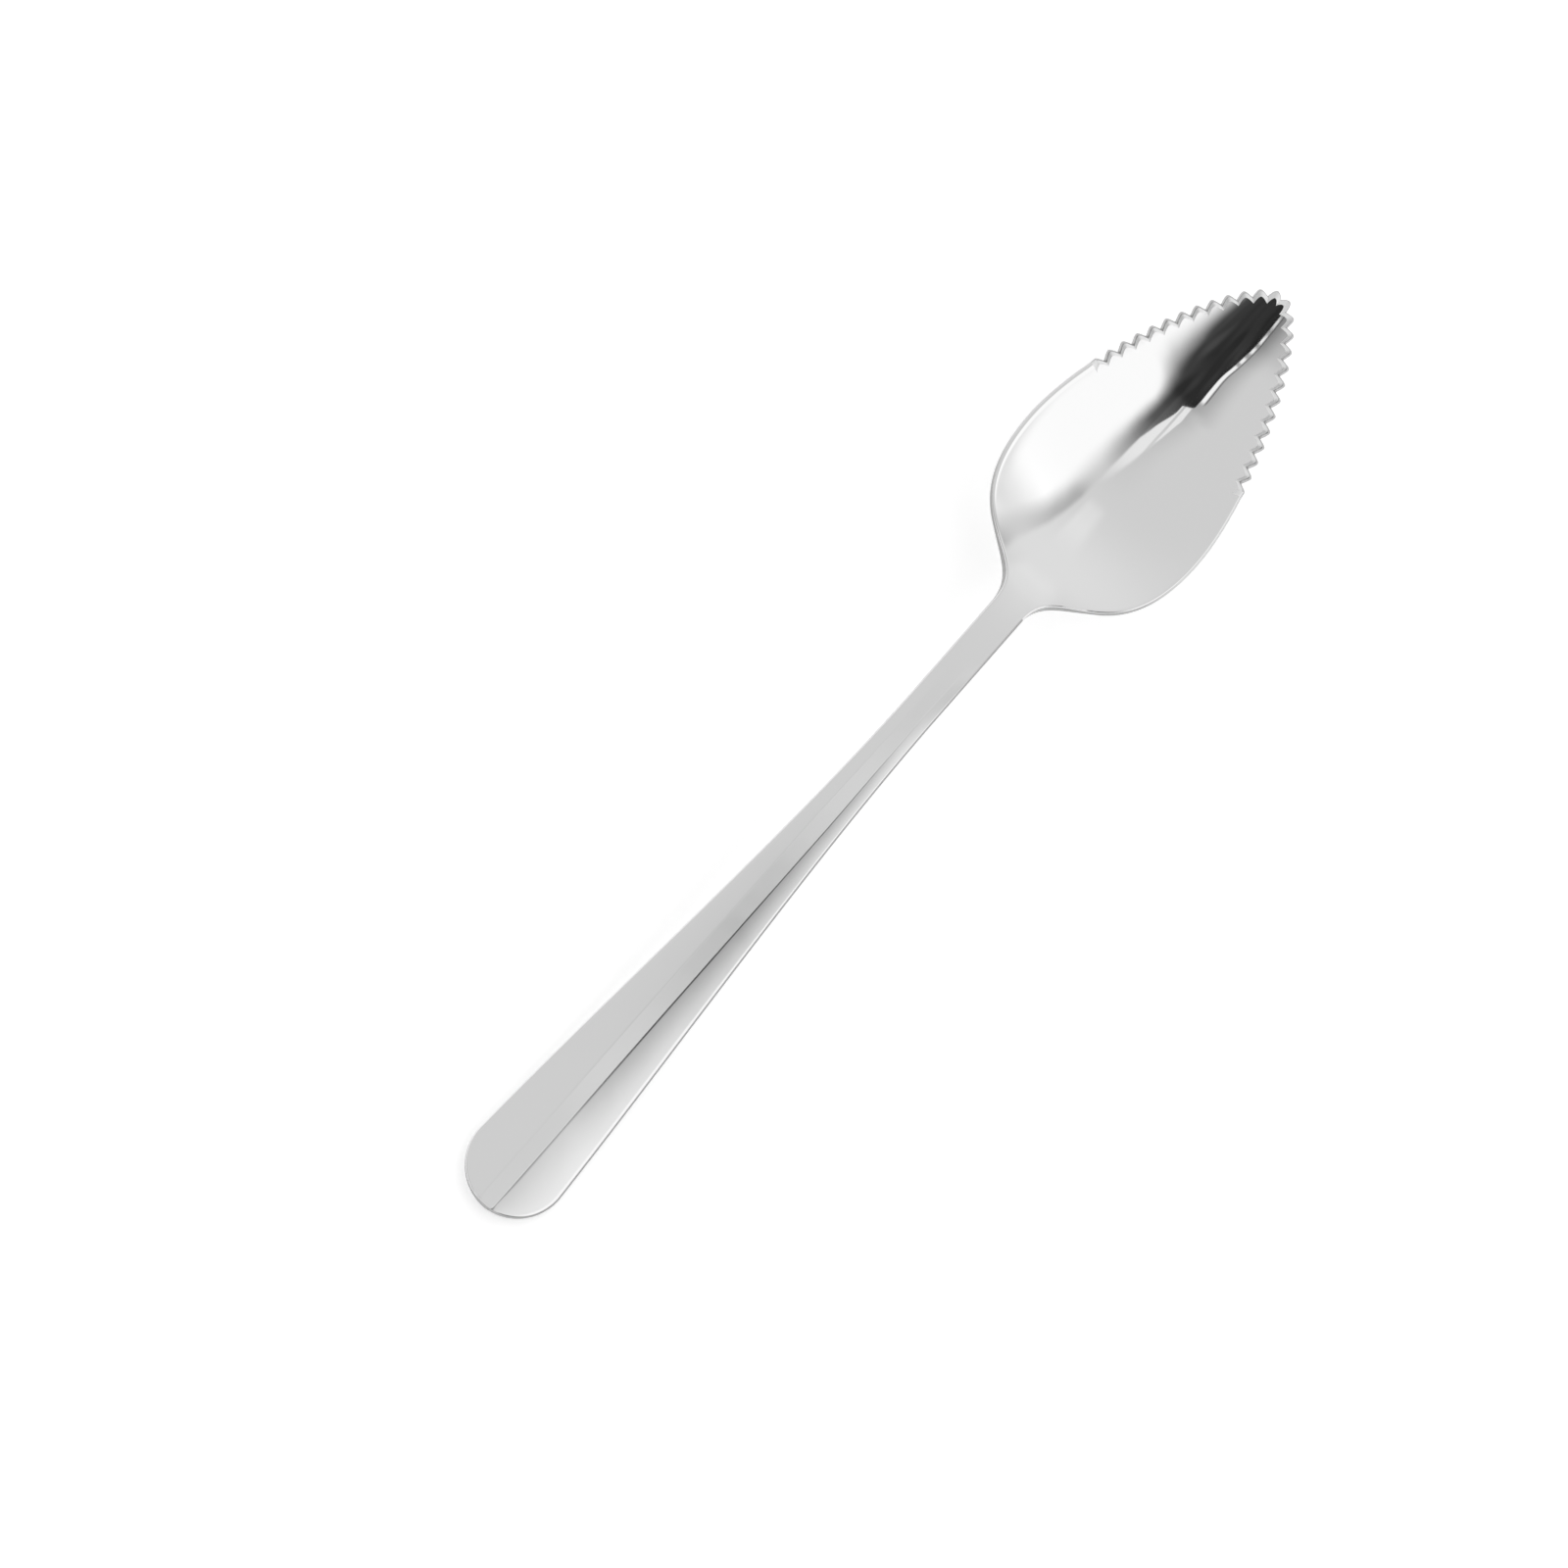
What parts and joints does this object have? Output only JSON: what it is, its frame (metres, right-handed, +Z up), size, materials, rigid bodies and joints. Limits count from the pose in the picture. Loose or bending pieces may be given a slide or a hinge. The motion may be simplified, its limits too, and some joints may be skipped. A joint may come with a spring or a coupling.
{
  "type": "grapefruit spoon",
  "caption": "Grapefruit spoon with a pointed dished bowl, a serrated front edge for cutting out segments, and a slim arched handle that flares to a rounded end.",
  "frame": {"origin": "centre of the spoon's length and width, on the surface it lies on", "axes": "+X from the handle end towards the tip, +Y to the left seen from the handle, +Z up out of the bowl"},
  "size_m": [0.16, 0.0298, 0.0085],
  "materials": {
    "polished_steel": "polished"
  },
  "bodies": {
    "root": {"bowl": "polished_steel", "left_serrated_edge": "polished_steel", "right_serrated_edge": "polished_steel", "neck": "polished_steel", "handle": "polished_steel"}
  },
  "joints": []
}
